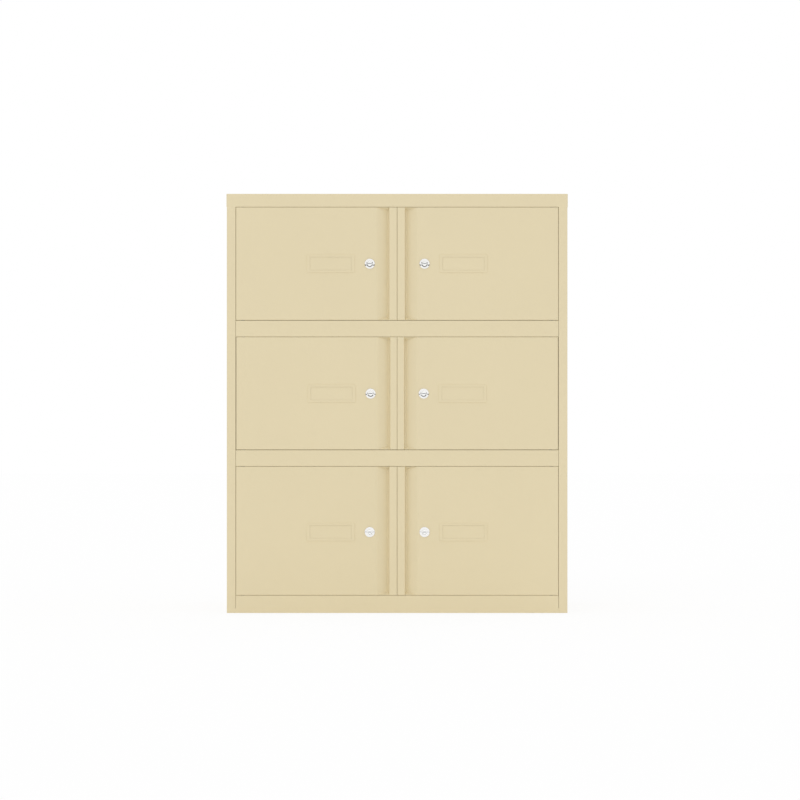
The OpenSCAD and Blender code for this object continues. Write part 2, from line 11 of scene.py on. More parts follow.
import bmesh
import bpy
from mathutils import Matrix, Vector


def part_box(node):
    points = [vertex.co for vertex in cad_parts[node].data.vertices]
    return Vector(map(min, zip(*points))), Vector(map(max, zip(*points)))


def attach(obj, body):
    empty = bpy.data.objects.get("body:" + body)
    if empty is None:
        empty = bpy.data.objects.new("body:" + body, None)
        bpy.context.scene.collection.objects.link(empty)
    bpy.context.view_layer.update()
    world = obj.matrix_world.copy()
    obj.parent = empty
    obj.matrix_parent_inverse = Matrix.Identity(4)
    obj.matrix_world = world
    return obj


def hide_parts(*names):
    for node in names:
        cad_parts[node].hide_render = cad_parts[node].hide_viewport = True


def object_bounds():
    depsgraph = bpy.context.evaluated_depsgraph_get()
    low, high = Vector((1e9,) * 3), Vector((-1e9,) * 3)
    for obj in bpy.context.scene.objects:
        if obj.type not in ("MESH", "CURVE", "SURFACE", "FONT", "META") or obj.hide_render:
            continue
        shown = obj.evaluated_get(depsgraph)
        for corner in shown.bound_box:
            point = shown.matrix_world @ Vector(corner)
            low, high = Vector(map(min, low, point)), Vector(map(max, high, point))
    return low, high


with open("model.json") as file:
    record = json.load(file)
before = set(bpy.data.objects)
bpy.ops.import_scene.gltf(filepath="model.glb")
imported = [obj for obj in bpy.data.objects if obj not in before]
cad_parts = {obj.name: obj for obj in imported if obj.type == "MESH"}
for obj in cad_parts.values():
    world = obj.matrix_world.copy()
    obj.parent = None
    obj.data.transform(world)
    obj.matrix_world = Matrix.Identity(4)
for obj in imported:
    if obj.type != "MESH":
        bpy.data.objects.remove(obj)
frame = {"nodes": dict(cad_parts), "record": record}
cad_low, cad_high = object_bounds()
MM = 0.001

# %% [markdown]
# ## The view
# The photograph looks squarely at the front from some way off, so the locker's sides and top don't show.
# An orthographic camera would nearly do, but a long lens keeps the other views natural. Its focal length
# follows from how wide the locker stands in the picture, and the camera stands a little to the right of
# and above the locker's middle, by as much as the locker lies off the middle of the picture.

# %% Camera
PICTURE_PX = 800
LOCKER_PX = 340.65
LOCKER_MIDDLE_PX = (397.13, 403.5)
CAMERA_DISTANCE = 8.0

left_side_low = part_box("left_side_panel")[0]
front_y = left_side_low.y
locker_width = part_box("right_side_panel")[1].x - left_side_low.x
metres_per_px = locker_width / LOCKER_PX
locker_middle_z = (cad_low.z + cad_high.z) / 2

camera_data = bpy.data.cameras.new("camera")
camera_data.lens = camera_data.sensor_width * CAMERA_DISTANCE / (PICTURE_PX * metres_per_px)
camera = bpy.data.objects.new("camera", camera_data)
camera.location = (
    (PICTURE_PX / 2 - LOCKER_MIDDLE_PX[0]) * metres_per_px,
    front_y - CAMERA_DISTANCE,
    locker_middle_z + (LOCKER_MIDDLE_PX[1] - PICTURE_PX / 2) * metres_per_px,
)
camera.rotation_euler = (math.radians(90), 0, 0)
bpy.context.scene.collection.objects.link(camera)
bpy.context.scene.camera = camera
bpy.context.scene.view_settings.view_transform = "Standard"
print("camera: lens", round(camera_data.lens, 2), "mm at", [round(v, 4) for v in camera.location])

# %% [markdown]
# ## Light
# The photograph is high-key: soft light from everywhere, a little stronger from the upper left, and a
# white ground. A pale world gives the soft part at the level where a colour renders as it is written.
# A broad sun from the front and upper left adds the faint relief on raised edges. An area lamp could do
# it too, but it would light the near corner more than the far one, and the photograph is even all over.
# The white that the camera sees is also what metal mirrors, so both kinds of ray get it. The sun isn't
# mirrored, because no hot spot shows on the locks.

# %% World and lamp
WHITE = (1, 1, 1, 1)
WORLD_STRENGTH = 0.921
SUN_STRENGTH = 0.3
SUN_SPREAD = math.radians(30)
SUN_TRAVEL = Vector((0.35, 1.0, -0.8))


def link(tree, start, end):
    tree.links.new(start, end)


def looking_rays(tree):
    """One for rays that look at the set, straight from the camera or by way of metal or glass."""
    path = tree.nodes.new("ShaderNodeLightPath")
    rays = path.outputs["Is Camera Ray"]
    for other in ("Is Glossy Ray", "Is Transmission Ray"):
        either = tree.nodes.new("ShaderNodeMath")
        either.operation = "MAXIMUM"
        link(tree, rays, either.inputs[0])
        link(tree, path.outputs[other], either.inputs[1])
        rays = either.outputs["Value"]
    return rays


def mixed(tree, share, first, second):
    """Two shaders in one: all of the first where share is 0, all of the second where it is 1."""
    mix = tree.nodes.new("ShaderNodeMixShader")
    link(tree, share, mix.inputs["Fac"])
    link(tree, first, mix.inputs[1])
    link(tree, second, mix.inputs[2])
    return mix.outputs["Shader"]


def white_sky(tree, strength):
    sky = tree.nodes.new("ShaderNodeBackground")
    sky.inputs["Color"].default_value = WHITE
    sky.inputs["Strength"].default_value = strength
    return sky.outputs["Background"]


def make_world():
    world = bpy.data.worlds.new("studio")
    bpy.context.scene.world = world
    world.use_nodes = True
    tree = world.node_tree
    tree.nodes.clear()
    sky = mixed(tree, looking_rays(tree), white_sky(tree, WORLD_STRENGTH), white_sky(tree, 1))
    out = tree.nodes.new("ShaderNodeOutputWorld")
    link(tree, sky, out.inputs["Surface"])


def make_sun():
    data = bpy.data.lights.new("upper_left_sun", "SUN")
    data.energy = SUN_STRENGTH
    data.angle = SUN_SPREAD
    sun = bpy.data.objects.new("upper_left_sun", data)
    sun.rotation_euler = SUN_TRAVEL.to_track_quat("-Z", "Y").to_euler()
    sun.visible_glossy = False
    bpy.context.scene.collection.objects.link(sun)


make_world()
make_sun()
print("light: world", WORLD_STRENGTH, "sun", SUN_STRENGTH)

# %% [markdown]
# ## Floor
# The locker stands on a plain pale floor. More lamps could turn it white, but they would bleach the paint
# as well. So it bounces light like white board, and most of what the camera sees of it is its own glow:
# the ground of the picture is white, and a soft contact shadow still shows.

# %% Floor
FLOOR_SIZE = 30
FLOOR_WHITE = (0.98, 0.98, 0.98, 1)
FLOOR_GLOW = 0.87
MATT = 0.9


def floor_material():
    material = bpy.data.materials.new("pale_floor")
    material.use_nodes = True
    tree = material.node_tree
    board = tree.nodes["Principled BSDF"]
    board.inputs["Base Color"].default_value = FLOOR_WHITE
    board.inputs["Roughness"].default_value = MATT
    glow = tree.nodes.new("ShaderNodeEmission")
    glow.inputs["Color"].default_value = WHITE
    glow.inputs["Strength"].default_value = 1
    share = tree.nodes.new("ShaderNodeMath")
    share.operation = "MULTIPLY"
    share.inputs[1].default_value = FLOOR_GLOW
    link(tree, looking_rays(tree), share.inputs[0])
    surface = mixed(tree, share.outputs["Value"], board.outputs["BSDF"], glow.outputs["Emission"])
    link(tree, surface, tree.nodes["Material Output"].inputs["Surface"])
    return material


bpy.ops.mesh.primitive_plane_add(size=FLOOR_SIZE, location=(0, 0, 0))
floor = bpy.context.object
floor.name = "floor"
floor.data.materials.append(floor_material())
print("floor:", FLOOR_SIZE, "m square")

# %% [markdown]
# ## What the chrome mirrors
# Chrome shows the room. In the photograph a dark smile lies under the keyway of the upper four locks, and
# dark wings cross the rings at nine and three o'clock, thick on the upper locks and thin on the lowest.
# Marks painted on the chrome could imitate them, but they would stay in place when the view turns, so the
# room itself is built. The wings are the dark floor beyond the white sheet, which a low lock sees at a
# flat angle. The smile is an arch overhead, such as the frame of a lamp: the sunken slope of a lock
# mirrors whatever lies sixty degrees off the camera's direction, and only the lowest locks look out under
# the arch. Only mirrored rays meet these shapes, so they cast no shadow and hardly touch the paint.

# %% Dark floor and arch
SHEET_HALF_WIDTH = 2
SHEET_FRONT = -8
DARK_FLOOR_REACH = 20
DARK_FLOOR_BACK = 1
DARK_FLOOR_Z = 0.003
DARK_FLOOR_GREY = 0.08
ARCH_IN_FRONT = 1.0
ARCH_MIDDLE_Z = 0.35
ARCH_RADII = (1.7, 2.9)
ARCH_ENDS = (27, 153)
ARCH_STEPS = 40
ARCH_GREY = 0.07


def only_mirrored(name, corners, faces, grey):
    """A grey shape of the studio that nothing but mirrored rays can meet."""
    data = bpy.data.meshes.new(name)
    data.from_pydata(corners, [], faces)
    shape = bpy.data.objects.new(name, data)
    bpy.context.scene.collection.objects.link(shape)
    board = bpy.data.materials.new(name)
    board.use_nodes = True
    surface = board.node_tree.nodes["Principled BSDF"]
    surface.inputs["Base Color"].default_value = (grey, grey, grey, 1)
    surface.inputs["Roughness"].default_value = MATT
    data.materials.append(board)
    for ray in ("camera", "diffuse", "transmission", "volume_scatter", "shadow"):
        setattr(shape, f"visible_{ray}", False)


def make_dark_floor():
    """Strips to the left, to the right and in front of the white sheet."""
    far = DARK_FLOOR_REACH
    side = SHEET_HALF_WIDTH
    strips = (
        (-far, -side, DARK_FLOOR_BACK),
        (side, far, DARK_FLOOR_BACK),
        (-side, side, SHEET_FRONT),
    )
    corners, faces = [], []
    for x0, x1, back in strips:
        faces.append(range(len(corners), len(corners) + 4))
        corners += [(x, y, DARK_FLOOR_Z) for x, y in ((x0, -far), (x1, -far), (x1, back), (x0, back))]
    only_mirrored("dark_floor", corners, faces, DARK_FLOOR_GREY)


def make_arch():
    """A flat band that stands upright in front of the locker, bent about a point near the floor."""
    start, end = ARCH_ENDS
    corners = []
    for i in range(ARCH_STEPS + 1):
        t = math.radians(start + (end - start) * i / ARCH_STEPS)
        for radius in ARCH_RADII:
            z = ARCH_MIDDLE_Z + radius * math.sin(t)
            corners.append((radius * math.cos(t), front_y - ARCH_IN_FRONT, z))
    faces = [(2 * i, 2 * i + 1, 2 * i + 3, 2 * i + 2) for i in range(ARCH_STEPS)]
    only_mirrored("lamp_arch", corners, faces, ARCH_GREY)


make_dark_floor()
make_arch()
print("dark floor from", SHEET_HALF_WIDTH, "m at both sides, arch radii:", ARCH_RADII)

# %% [markdown]
# ## Powder coat
# The panels are sprayed with dry powder and baked, which leaves a satin coat with a faint orange peel.
# The peel is a few hundredths of a millimetre deep, far too fine for geometry, so a fine noise bumps the
# surface. A broad noise lets the colour and the level drift slightly, as on any large sprayed sheet. The
# first cell holds what every finish here needs, and the second mixes the paint.

# %% Colours and noise
NOISE_ENDS = (0.3, 0.7)


def srgb(r, g, b):
    """A colour as read in the photograph, turned into the linear values that shaders use."""
    def linear(c):
        c /= 255
        return c / 12.92 if c <= 0.04045 else ((c + 0.055) / 1.055) ** 2.4
    return (linear(r), linear(g), linear(b), 1)


def new_finish(name):
    material = bpy.data.materials.new(name)
    material.use_nodes = True
    tree = material.node_tree
    surface = tree.nodes["Principled BSDF"]
    where = tree.nodes.new("ShaderNodeTexCoord").outputs["Object"]
    return material, tree, surface, where


def add_noise(tree, where, scale, detail=2):
    noise = tree.nodes.new("ShaderNodeTexNoise")
    noise.inputs["Scale"].default_value = scale
    noise.inputs["Detail"].default_value = detail
    link(tree, where, noise.inputs["Vector"])
    return noise.outputs["Fac"]


def add_shades(tree, noise, colour, factors):
    """The colour drifting between two shades of itself, over the values that a noise mostly has."""
    ramp = tree.nodes.new("ShaderNodeValToRGB")
    for stop, position, factor in zip(ramp.color_ramp.elements, NOISE_ENDS, factors):
        stop.position = position
        stop.color = (*[c * factor for c in colour[:3]], 1)
    link(tree, noise, ramp.inputs["Fac"])
    return ramp.outputs["Color"]


def add_range(tree, noise, low, high):
    spread = tree.nodes.new("ShaderNodeMapRange")
    spread.inputs["To Min"].default_value = low
    spread.inputs["To Max"].default_value = high
    link(tree, noise, spread.inputs["Value"])
    return spread.outputs["Result"]


def add_bump(tree, height, distance, below=None):
    bump = tree.nodes.new("ShaderNodeBump")
    bump.inputs["Distance"].default_value = distance
    link(tree, height, bump.inputs["Height"])
    if below is not None:
        link(tree, below, bump.inputs["Normal"])
    return bump.outputs["Normal"]


print("a mid grey of 128 is", round(srgb(128, 128, 128)[0], 3), "to a shader")

# %% Powder coat
DRIFT_SCALE = 4
DRIFT_SHADES = (0.992, 1.008)
DRIFT_HEIGHT = 0.0004
PEEL_SCALE = 700
PEEL_HEIGHT = 0.00005
GLOSS_SPREAD = 0.05
COAT_SHINE = 0.35
BEIGE = srgb(225, 211.5, 176)
INNER_BEIGE = srgb(216, 202, 168)


def powder_coat(name, colour, roughness):
    material, tree, surface, where = new_finish(name)
    drift = add_noise(tree, where, DRIFT_SCALE)
    link(tree, add_shades(tree, drift, colour, DRIFT_SHADES), surface.inputs["Base Color"])
    peel = add_noise(tree, where, PEEL_SCALE, detail=3)
    gloss = add_range(tree, peel, roughness - GLOSS_SPREAD, roughness + GLOSS_SPREAD)
    link(tree, gloss, surface.inputs["Roughness"])
    waves = add_bump(tree, drift, DRIFT_HEIGHT)
    link(tree, add_bump(tree, peel, PEEL_HEIGHT, below=waves), surface.inputs["Normal"])
    surface.inputs["Specular IOR Level"].default_value = COAT_SHINE
    return material


body_paint = powder_coat("beige_powder_coat", BEIGE, 0.5)
inner_paint = powder_coat("inner_powder_coat", INNER_BEIGE, 0.6)
print("materials:", body_paint.name, inner_paint.name)

# %% [markdown]
# ## Metals, nylon and rubber
# Lock faces are polished chrome, cams and pins are bright zinc plate with a fine grain, and the bushes,
# buffers and feet are moulded. One metal with one roughness could serve all the metal, but the eye tells
# chrome from zinc by how evenly it shines, so each finish gets a roughness pattern of its own. The last
# cell gives every piece of the construction the finish that its record names.

# %% Metals and plastics
CLOUD_SCALE = 90
CLOUD_SHADES = (0.94, 1.0)
MOULD_SCALE = 1500
MOULD_SHADES = (0.9, 1.1)
MOULD_HEIGHT = 0.00004


def plated(name, colour, smoothest, roughest, grain_scale):
    material, tree, surface, where = new_finish(name)
    grain = add_noise(tree, where, grain_scale, detail=4)
    link(tree, add_range(tree, grain, smoothest, roughest), surface.inputs["Roughness"])
    cloud = add_noise(tree, where, CLOUD_SCALE)
    link(tree, add_shades(tree, cloud, colour, CLOUD_SHADES), surface.inputs["Base Color"])
    surface.inputs["Metallic"].default_value = 1
    return material


def moulded(name, colour, smoothest, roughest):
    material, tree, surface, where = new_finish(name)
    grain = add_noise(tree, where, MOULD_SCALE, detail=3)
    link(tree, add_range(tree, grain, smoothest, roughest), surface.inputs["Roughness"])
    link(tree, add_shades(tree, grain, colour, MOULD_SHADES), surface.inputs["Base Color"])
    link(tree, add_bump(tree, grain, MOULD_HEIGHT), surface.inputs["Normal"])
    return material


chrome = plated("lock_chrome", (0.93, 0.925, 0.91, 1), 0.04, 0.12, 400)
bright_chrome = plated("plug_chrome", (1.0, 1.0, 0.98, 1), 0.03, 0.08, 400)
# Dull steel for the keyway and its shutter. Its dark grey is partly painted shade inside the keyway.
shutter_steel_and_shade = plated("shutter_steel_and_shade", (0.40, 0.41, 0.42, 1), 0.3, 0.5, 900)
zinc = plated("zinc_plate", (0.70, 0.71, 0.72, 1), 0.22, 0.42, 900)
nylon = moulded("bush_nylon", (0.07, 0.07, 0.07, 1), 0.4, 0.55)
rubber = moulded("buffer_rubber", (0.025, 0.025, 0.025, 1), 0.6, 0.8)
foot_plastic = moulded("foot_plastic", (0.02, 0.02, 0.02, 1), 0.45, 0.6)
print("plated:", chrome.name, bright_chrome.name, shutter_steel_and_shade.name, zinc.name)
print("moulded:", nylon.name, rubber.name, foot_plastic.name)

# %% Finishes onto the construction
SLOT_MATERIALS = {
    "body_paint": body_paint, "inner_paint": inner_paint, "chrome": chrome, "zinc": zinc,
    "nylon": nylon, "rubber": rubber, "foot_plastic": foot_plastic,
}
for part in frame["record"]["subparts"]:
    node = frame["nodes"][part["node"]]
    node.data.materials.clear()
    node.data.materials.append(SLOT_MATERIALS[part["material_slot"]])
print("dressed", len(frame["nodes"]), "nodes in", len(SLOT_MATERIALS), "finishes")

# %% [markdown]
# ## Turned and formed small parts
# Locks, screws, feet and buffers are turned, moulded or punched, so each one is a row of outlines along an
# axis: circles, hexagons, a slot. A modifier stack on a cylinder could do it, but then the key slot or a
# thread needs a cut. Joining one outline to the next keeps clean quads and puts an edge where it is wanted.
# All outlines are in millimetres, and depth runs back from the door's face.

# %% Outlines
POINTS = 72
TURNS = [2 * math.pi * i / POINTS for i in range(POINTS)]


def circle(radius):
    return [(radius * math.cos(t), radius * math.sin(t)) for t in TURNS]


def hexagon(flats):
    """Six sides, flats apart, as points at the same turns as a circle's."""
    def reach(t):
        return flats / 2 / math.cos((t % (math.pi / 3)) - math.pi / 6)
    return [(reach(t) * math.cos(t), reach(t) * math.sin(t)) for t in TURNS]


def rectangle(width, height, corner):
    """A rounded rectangle with a quarter of the points on each corner."""
    points = []
    for t in TURNS:
        x = (width / 2 - corner) * (1 if math.cos(t) > 0 else -1)
        y = (height / 2 - corner) * (1 if math.sin(t) > 0 else -1)
        points.append((x + corner * math.cos(t), y + corner * math.sin(t)))
    return points


def turned(radius_and_depth):
    return [(circle(radius), depth) for radius, depth in radius_and_depth]


def thread(radius, pitch, start, end):
    """The zigzag of a screw thread as radius and depth, crest and root in turn."""
    rings = []
    for i in range(int((end - start) / pitch)):
        rings += [(radius, start + pitch * i), (radius - 0.5 * pitch, start + pitch * (i + 0.5))]
    return rings + [(radius, end)]


print("outlines have", POINTS, "points")

# %% The skin between outlines, and its place in the frame
SHARP_EDGE = math.radians(32)


def smooth_with_sharp_edges(data):
    data.shade_smooth()
    data.set_sharp_from_angle(angle=SHARP_EDGE)


def skin_mesh(name, outlines, material, ring=False):
    """Quads from one outline to the next, where each outline is its points and its depth. A ring joins
    the last outline to the first, and anything else gets an end face at both ends."""
    mesh = bmesh.new()
    rows = [[mesh.verts.new((x * MM, depth * MM, z * MM)) for x, z in points] for points, depth in outlines]
    pairs = list(zip(rows, rows[1:]))
    if ring:
        pairs.append((rows[-1], rows[0]))
    for row, following in pairs:
        for i in range(POINTS):
            j = (i + 1) % POINTS
            mesh.faces.new((row[i], following[i], following[j], row[j]))
    if not ring:
        mesh.faces.new(rows[0])
        mesh.faces.new(list(reversed(rows[-1])))
    bmesh.ops.recalc_face_normals(mesh, faces=mesh.faces)
    data = bpy.data.meshes.new(name)
    mesh.to_mesh(data)
    mesh.free()
    smooth_with_sharp_edges(data)
    data.materials.append(material)
    return data


def place(name, data, spot, body, node=None, upright=False):
    """Puts a piece in the frame. Its depth runs back from the door, or up from the floor if it is upright."""
    piece = bpy.data.objects.new(name, data)
    piece.location = spot
    if upright:
        piece.rotation_euler.x = math.radians(90)
    bpy.context.scene.collection.objects.link(piece)
    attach(piece, body)
    if node:
        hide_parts(node)


print("edges sharper than", round(math.degrees(SHARP_EDGE)), "degrees stay sharp")

# %% [markdown]
# ## Lock housing and its nut
# The chrome face that shows is a gently domed ring, and inside it a slope runs down to the plug. The dome
# mirrors the dark floor at nine and three o'clock, and the lower half of the slope mirrors the arch. Behind
# the door the barrel is threaded for the clamping nut. All of it is turned, so one profile of radius and
# depth draws it. A ready-made screw modifier could spin that profile too, but it knows no hexagon for the
# nut.

# %% Lock housings and nuts
TIERS = ("lower", "middle", "upper")
SIDES = ("left", "right")
DOORS = [f"{tier}_{side}" for tier in TIERS for side in SIDES]
BORE_CLEARANCE = 0.05
RING_R = 12
BARREL_R = 9.5
BARREL_PITCH = 1.0
NUT_FLATS = 22

door_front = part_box("upper_left_door_panel")[0].y
plug_low, plug_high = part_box("upper_left_lock_plug")
plug_r = (plug_high.x - plug_low.x) / 2 / MM
bore = plug_r + BORE_CLEARANCE

SLOPE = [
    (bore, 4), (bore, -0.95), (bore + 0.06, -1.1), (bore + 1.5, -1.95), (bore + 1.75, -2.1),
    (bore + 2.0, -2.18),
]
DOME = [
    (8.2, -2.2), (8.5, -2.17), (9.0, -2.08), (10.0, -1.89), (11.0, -1.66), (11.5, -1.52), (11.8, -1.35),
    (11.95, -1.1),
]
RING_EDGE = [(RING_R, -0.8), (RING_R, 0), (BARREL_R, 0.02), (BARREL_R, 1)]
BARREL = thread(BARREL_R, BARREL_PITCH, 4.9, 19.9)
BARREL_END = [(9.0, 20.5), (bore + 0.3, 20.5), (bore, 20.1)]
HOUSING = turned(SLOPE + DOME + RING_EDGE + BARREL + BARREL_END)
NUT_OUTLINES = [
    (circle(BARREL_R + 0.02), 0.9), (circle(10.4), 0.82), (circle(10.9), 0.82),
    (hexagon(NUT_FLATS - 0.1), 1.3), (hexagon(NUT_FLATS), 1.4), (hexagon(NUT_FLATS), 4.2),
    (hexagon(NUT_FLATS - 0.1), 4.3), (circle(10.9), 4.8), (circle(10.2), 4.8), (circle(BARREL_R + 0.02), 4.4),
]


def on_door_face(node):
    """The point of the doors' front plane that lies before the middle of a node."""
    low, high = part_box(node)
    return Vector(((low.x + high.x) / 2, door_front, (low.z + high.z) / 2))


housing_mesh = skin_mesh("lock_housing", HOUSING, chrome, ring=True)
nut_mesh = skin_mesh("lock_nut", NUT_OUTLINES, zinc, ring=True)
lock_axis = {door: on_door_face(f"{door}_lock_plug") for door in DOORS}
for door in DOORS:
    place(f"{door}_lock_ring_and_barrel", housing_mesh, lock_axis[door],
          body=f"{door}_door", node=f"{door}_lock_housing")
    place(f"{door}_clamping_nut", nut_mesh, lock_axis[door], body=f"{door}_door")
print("lock housing:", len(housing_mesh.polygons), "faces, nut:", len(nut_mesh.polygons))

# %% [markdown]
# ## Lock plug
# The plug turns with the key. Its face is flat inside a bevelled rim that goes on with the ring's slope.
# A keyway lies across it, closed just behind the face by a small spring shutter. The shutter and the
# keyway's walls are dull steel, and their dark grey is partly painted shade: it stands in for the shade
# inside the keyway, and the keyway looks grey and not black. At the plug's back is the square for the cam.
# A boolean cut could make the keyway, but it leaves long thin faces, so the keyway is simply the first
# outlines of the row.

# %% Lock plugs
KEYWAY_W, KEYWAY_H = 7.6, 1.7
MOUTH = 0.2
SHUTTER_DEPTH = 0.2
STEEL_AND_SHADE_X, STEEL_AND_SHADE_Z, STEEL_AND_SHADE_DEPTH = 3.85, 0.88, 0.3
CAM_FRONT, CAM_BACK = 22.5, 24.5
CAM_SQUARE = 7
PLUG_OUTLINES = [
    (rectangle(KEYWAY_W, KEYWAY_H, 0.2), SHUTTER_DEPTH),
    (rectangle(KEYWAY_W, KEYWAY_H, 0.2), -0.36),
    (rectangle(KEYWAY_W + MOUTH, KEYWAY_H + MOUTH, 0.3), -0.45),
    (circle(4.7), -0.45), (circle(4.85), -0.52), (circle(plug_r - 0.15), -1.1),
    (circle(plug_r - 0.05), -1.08), (circle(plug_r), -0.9), (circle(plug_r), CAM_FRONT),
    (circle(5.2), CAM_FRONT),
    (rectangle(CAM_SQUARE, CAM_SQUARE, 0.3), CAM_FRONT),
    (rectangle(CAM_SQUARE, CAM_SQUARE, 0.3), 24.3),
    (rectangle(CAM_SQUARE - 0.3, CAM_SQUARE - 0.3, 0.3), 24.48),
]


def is_keyway_steel_and_shade(face):
    """The keyway's walls, the ends of its flared mouth and the shutter, all dull steel whose dark grey is
    partly painted shade.
    """
    x, depth, z = face.center / MM
    return abs(x) < STEEL_AND_SHADE_X and abs(z) < STEEL_AND_SHADE_Z and depth < STEEL_AND_SHADE_DEPTH


plug_mesh = skin_mesh("lock_plug", PLUG_OUTLINES, bright_chrome)
# The keyway's faces take the dull steel, whose dark grey is partly painted shade.
plug_mesh.materials.append(shutter_steel_and_shade)
steel_and_shade_faces = [face for face in plug_mesh.polygons if is_keyway_steel_and_shade(face)]
for face in steel_and_shade_faces:
    face.material_index = 1
for door in DOORS:
    place(f"{door}_lock_core", plug_mesh, lock_axis[door],
          body=f"{door}_lock", node=f"{door}_lock_plug")
print("lock plug:", len(plug_mesh.polygons), "faces,", len(steel_and_shade_faces), "of them in the keyway")

# %% [markdown]
# ## Cam and its screw
# The cam is punched from flat steel, so its edges are slightly rolled over on one side, and a pan-head
# screw with a crossed recess holds it. A curve with thickness could make the cam, but not the rolled edge.
# Points of the outline and of its square hole share a direction from the axis, which keeps the flat faces
# free of folded quads.

# %% Cams and screws
CAM_LENGTH, CAM_WIDTH, CAM_HUB = 48, 16, 9
CAM_HOLE = 7.05
ROLLED, BROKEN = 0.35, 0.1


def cam_edge(shrink):
    """The cam's outline: a hub, two straight sides and a round tip below."""
    tip = CAM_WIDTH / 2 - shrink
    hub = CAM_HUB - shrink
    tip_z = CAM_WIDTH / 2 - CAM_LENGTH
    join = math.acos(tip / hub)
    hub_points = POINTS // 2
    points = []
    for i in range(hub_points):
        t = -join + (math.pi + 2 * join) * i / (hub_points - 1)
        points.append((hub * math.cos(t), hub * math.sin(t)))
    for i in range(POINTS - hub_points):
        t = math.pi + math.pi * i / (POINTS - hub_points - 1)
        points.append((tip * math.cos(t), tip_z + tip * math.sin(t)))
    return points


def square_towards(points, side):
    """The square's points in the same directions as the outline's."""
    found = []
    for x, z in points:
        reach = side / 2 / max(abs(x), abs(z))
        found.append((x * reach, z * reach))
    return found


def cross_recess(radius, arm):
    """A cross with arms twice arm wide, ending on a circle."""
    def reach(t):
        return min(radius, arm / max(0.001, min(abs(math.sin(t)), abs(math.cos(t)))))
    return [(reach(t) * math.cos(t), reach(t) * math.sin(t)) for t in TURNS]


cam_hole = square_towards(cam_edge(0), CAM_HOLE)
cam_mesh = skin_mesh("lock_cam", [
    (cam_hole, CAM_FRONT), (cam_edge(ROLLED), CAM_FRONT), (cam_edge(BROKEN), CAM_FRONT + BROKEN),
    (cam_edge(0), CAM_FRONT + ROLLED), (cam_edge(0), CAM_BACK - BROKEN), (cam_edge(BROKEN), CAM_BACK),
    (cam_hole, CAM_BACK),
], zinc, ring=True)
screw_mesh = skin_mesh("cam_screw", [
    (cross_recess(0.8, 0.2), 25.8), (cross_recess(1.9, 0.45), 26.2), (cross_recess(2.3, 0.55), 26.95),
    (circle(2.8), 26.98), (circle(3.5), 26.8), (circle(4.1), 26.3), (circle(4.4), 25.6), (circle(4.5), 24.9),
    (circle(4.4), CAM_BACK), (circle(2), CAM_BACK), (circle(2), 18.6),
], zinc)
for door in DOORS:
    place(f"{door}_punched_cam", cam_mesh, lock_axis[door],
          body=f"{door}_lock", node=f"{door}_lock_cam")
    place(f"{door}_cam_screw", screw_mesh, lock_axis[door], body=f"{door}_lock")
print("cam:", len(cam_mesh.polygons), "faces, screw:", len(screw_mesh.polygons))

# %% [markdown]
# ## Label holders
# Each door carries a pressed frame for a name card, coated with the door. Its outer and inner edges are
# pressed round, so they show as soft lines only. A bevel modifier on a flat frame would round them too,
# but every edge alike. The section is drawn as rounded rectangles, from the door's face over the bars,
# down into the window and back under the bars, where the card slides in. It stays a hair in front of the
# face, because two surfaces in one place would flicker.

# %% Label holders
BAR_W, BAR_H = 7, 5.5
OUTER_CORNER, WINDOW_CORNER = 1.6, 1.0
CARD_SLOT = 2.5
HAIR = 0.02


def holder_outlines(width, height, thick):
    def outer(inset):
        return rectangle(width - 2 * inset, height - 2 * inset, OUTER_CORNER)

    def window(wider):
        return rectangle(width - 2 * (BAR_W - wider), height - 2 * (BAR_H - wider), WINDOW_CORNER)

    return [
        (outer(0), -HAIR), (outer(0), -0.4 * thick), (outer(0.12), -0.72 * thick),
        (outer(0.45), -0.95 * thick), (outer(0.9), -thick),
        (window(1.6), -thick), (window(1.0), -0.93 * thick), (window(0.4), -0.7 * thick),
        (window(0), -0.5 * thick), (window(CARD_SLOT), -0.5 * thick), (window(CARD_SLOT), -HAIR),
    ]


holder_low, holder_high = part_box("upper_left_label_holder")
holder_size = (holder_high - holder_low) / MM
label_outlines = holder_outlines(holder_size.x, holder_size.z, holder_size.y)
label_mesh = skin_mesh("label_holder", label_outlines, body_paint, ring=True)
for door in DOORS:
    place(f"{door}_card_frame", label_mesh, on_door_face(f"{door}_label_holder"),
          body=f"{door}_door", node=f"{door}_label_holder")
print("label holder:", [round(v, 2) for v in holder_size], "mm,", len(label_mesh.polygons), "faces")

# %% [markdown]
# ## Door buffers
# Twelve rubber buttons on the centre posts stop the doors. In the construction they are one group of
# plain cylinders. The real ones are domed, and one turned profile serves them all, copied to the place
# where each cylinder stands. Twelve typed places could go wrong when the construction changes, so they
# are read from the group itself, solid by solid.

# %% Finding solids and copying a mesh
SAME_PLACE = 1e-6


def solid_corners(node):
    """The lowest corner of each separate solid in a node, found by walking from vertex to vertex."""
    mesh = bmesh.new()
    mesh.from_mesh(frame["nodes"][node].data)
    bmesh.ops.remove_doubles(mesh, verts=mesh.verts, dist=SAME_PLACE)
    left = set(mesh.verts)
    corners = []
    while left:
        reached, waiting = set(), [left.pop()]
        while waiting:
            vert = waiting.pop()
            reached.add(vert)
            near = {edge.other_vert(vert) for edge in vert.link_edges} & left
            left -= near
            waiting += near
        corners.append(Vector([min(vert.co[axis] for vert in reached) for axis in range(3)]))
    mesh.free()
    return sorted(corners, key=lambda low: (round(low.z, 4), round(low.x, 4), round(low.y, 4)))


def copied(name, data, spots):
    """One mesh with a copy of the given one at each spot."""
    mesh = bmesh.new()
    for spot in spots:
        start = len(mesh.verts)
        mesh.from_mesh(data)
        mesh.verts.ensure_lookup_table()
        for vert in mesh.verts[start:]:
            vert.co += spot
    many = bpy.data.meshes.new(name)
    mesh.to_mesh(many)
    mesh.free()
    smooth_with_sharp_edges(many)
    many.materials.append(data.materials[0])
    return many


buffer_corners = solid_corners("door_buffers")
print("solids among the buffers:", len(buffer_corners))

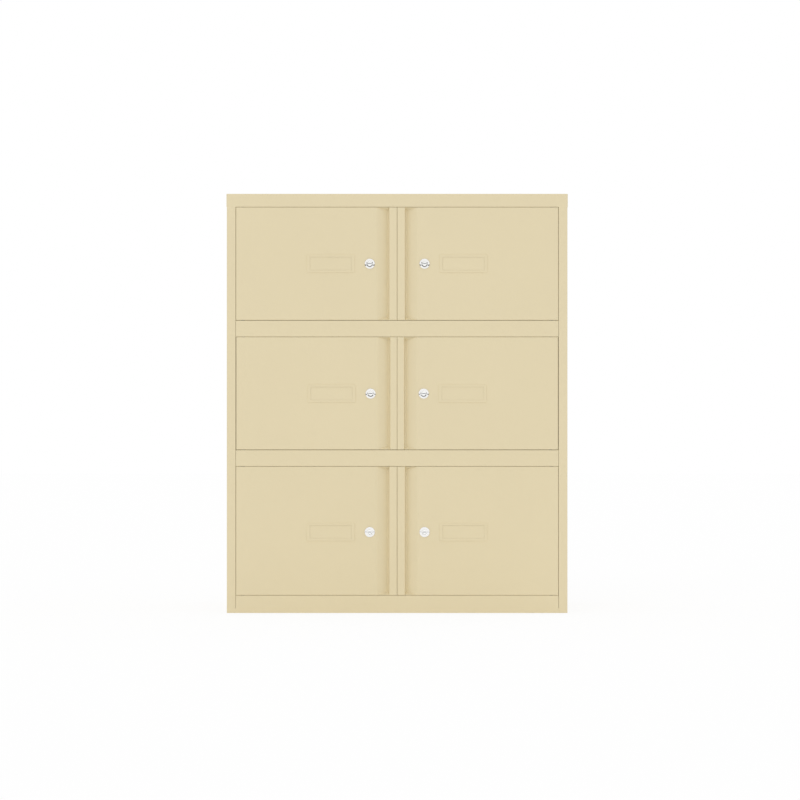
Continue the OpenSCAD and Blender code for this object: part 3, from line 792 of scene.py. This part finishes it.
# %% Buffers
BUTTON_R = 5
BUTTON = [
    (0.8, 0), (2.4, 0.1), (3.7, 0.45), (4.6, 1.1), (BUTTON_R, 2.0), (BUTTON_R, 4.4), (4.7, 4.7), (2, 4.7),
    (2, 8.2), (1.4, 8.7),
]
button = skin_mesh("buffer_button", turned(BUTTON), rubber)
button_spots = [low + Vector((BUTTON_R * MM, 0, BUTTON_R * MM)) for low in buffer_corners]
place("door_buffer_buttons", copied("buffer_buttons", button, button_spots), (0, 0, 0),
      body="carcass", node="door_buffers")
print("buffers:", len(button_spots))

# %% [markdown]
# ## Levelling feet
# A moulded pad on a threaded stud. The pad rests on its outer rim and its upper edge is rounded off. A
# helix could draw the thread, but at this size rings look the same, so it is turned like the buffers,
# with its profile running up from the floor.

# %% Feet
STUD_R = 4
STUD_PITCH = 1.25
PAD = [
    (STUD_R, 0.7), (10.4, 0.7), (11, 0), (14.2, 0), (14.8, 0.25), (15, 0.8), (15, 2.4), (14.5, 3.3),
    (13.2, 3.85), (6, 4), (STUD_R, 4),
]
STUD = thread(STUD_R, STUD_PITCH, 4.75, 31) + [(3.3, 32)]
foot_mesh = skin_mesh("levelling_foot", turned(PAD + STUD), foot_plastic)
for foot in ("front_left", "front_right", "rear_left", "rear_right"):
    low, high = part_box(f"{foot}_foot")
    place(f"{foot}_pad_and_stud", foot_mesh, ((low.x + high.x) / 2, (low.y + high.y) / 2, low.z),
          body=f"{foot}_levelling_foot", node=f"{foot}_foot", upright=True)
print("foot:", len(foot_mesh.polygons), "faces")

# %% [markdown]
# ## Spot welds at the back
# The sheets are spot welded where they lap, and each weld leaves a shallow round print under the coat.
# A bump texture could draw them, but their rows have to follow the flanges, so each is a flat turned
# button a tenth of a millimetre high, along the rear flanges, the lid's skirt and the three shelves.

# %% Weld prints
WELD = [(0.4, 0.03), (1.7, 0.03), (2.3, 0.06), (2.8, 0.12), (3.3, 0.12), (3.8, 0.06), (4.2, -0.02)]
WELD_PITCH = 95 * MM
FLANGE_MIDDLE = 10 * MM
FLANGE_FOOT, FLANGE_HEAD = 30 * MM, 60 * MM
SHELF_SIDE, SHELF_DROP = 40 * MM, 9 * MM
LID_HALF, LID_DROP = 0.36, 15 * MM


def spaced(start, end):
    count = max(2, round((end - start) / WELD_PITCH) + 1)
    return [start + (end - start) * i / (count - 1) for i in range(count)]


weld_mesh = skin_mesh("weld_print", turned(WELD), body_paint)
back_low, back_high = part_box("back_panel")
side_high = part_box("right_side_panel")[1]
lid_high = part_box("top_panel")[1]
weld_spots = []
for side in (-1, 1):
    for z in spaced(back_low.z + FLANGE_FOOT, back_high.z - FLANGE_HEAD):
        weld_spots.append(Vector((side * (side_high.x - FLANGE_MIDDLE), side_high.y, z)))
for shelf in ("bottom_shelf", "lower_shelf", "upper_shelf"):
    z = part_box(shelf)[1].z - SHELF_DROP
    for x in spaced(back_low.x + SHELF_SIDE, back_high.x - SHELF_SIDE):
        weld_spots.append(Vector((x, back_high.y, z)))
for x in spaced(-LID_HALF, LID_HALF):
    weld_spots.append(Vector((x, lid_high.y, lid_high.z - LID_DROP)))
place("rear_weld_prints", copied("weld_prints", weld_mesh, weld_spots), (0, 0, 0),
      body="carcass")
print("weld prints:", len(weld_spots))
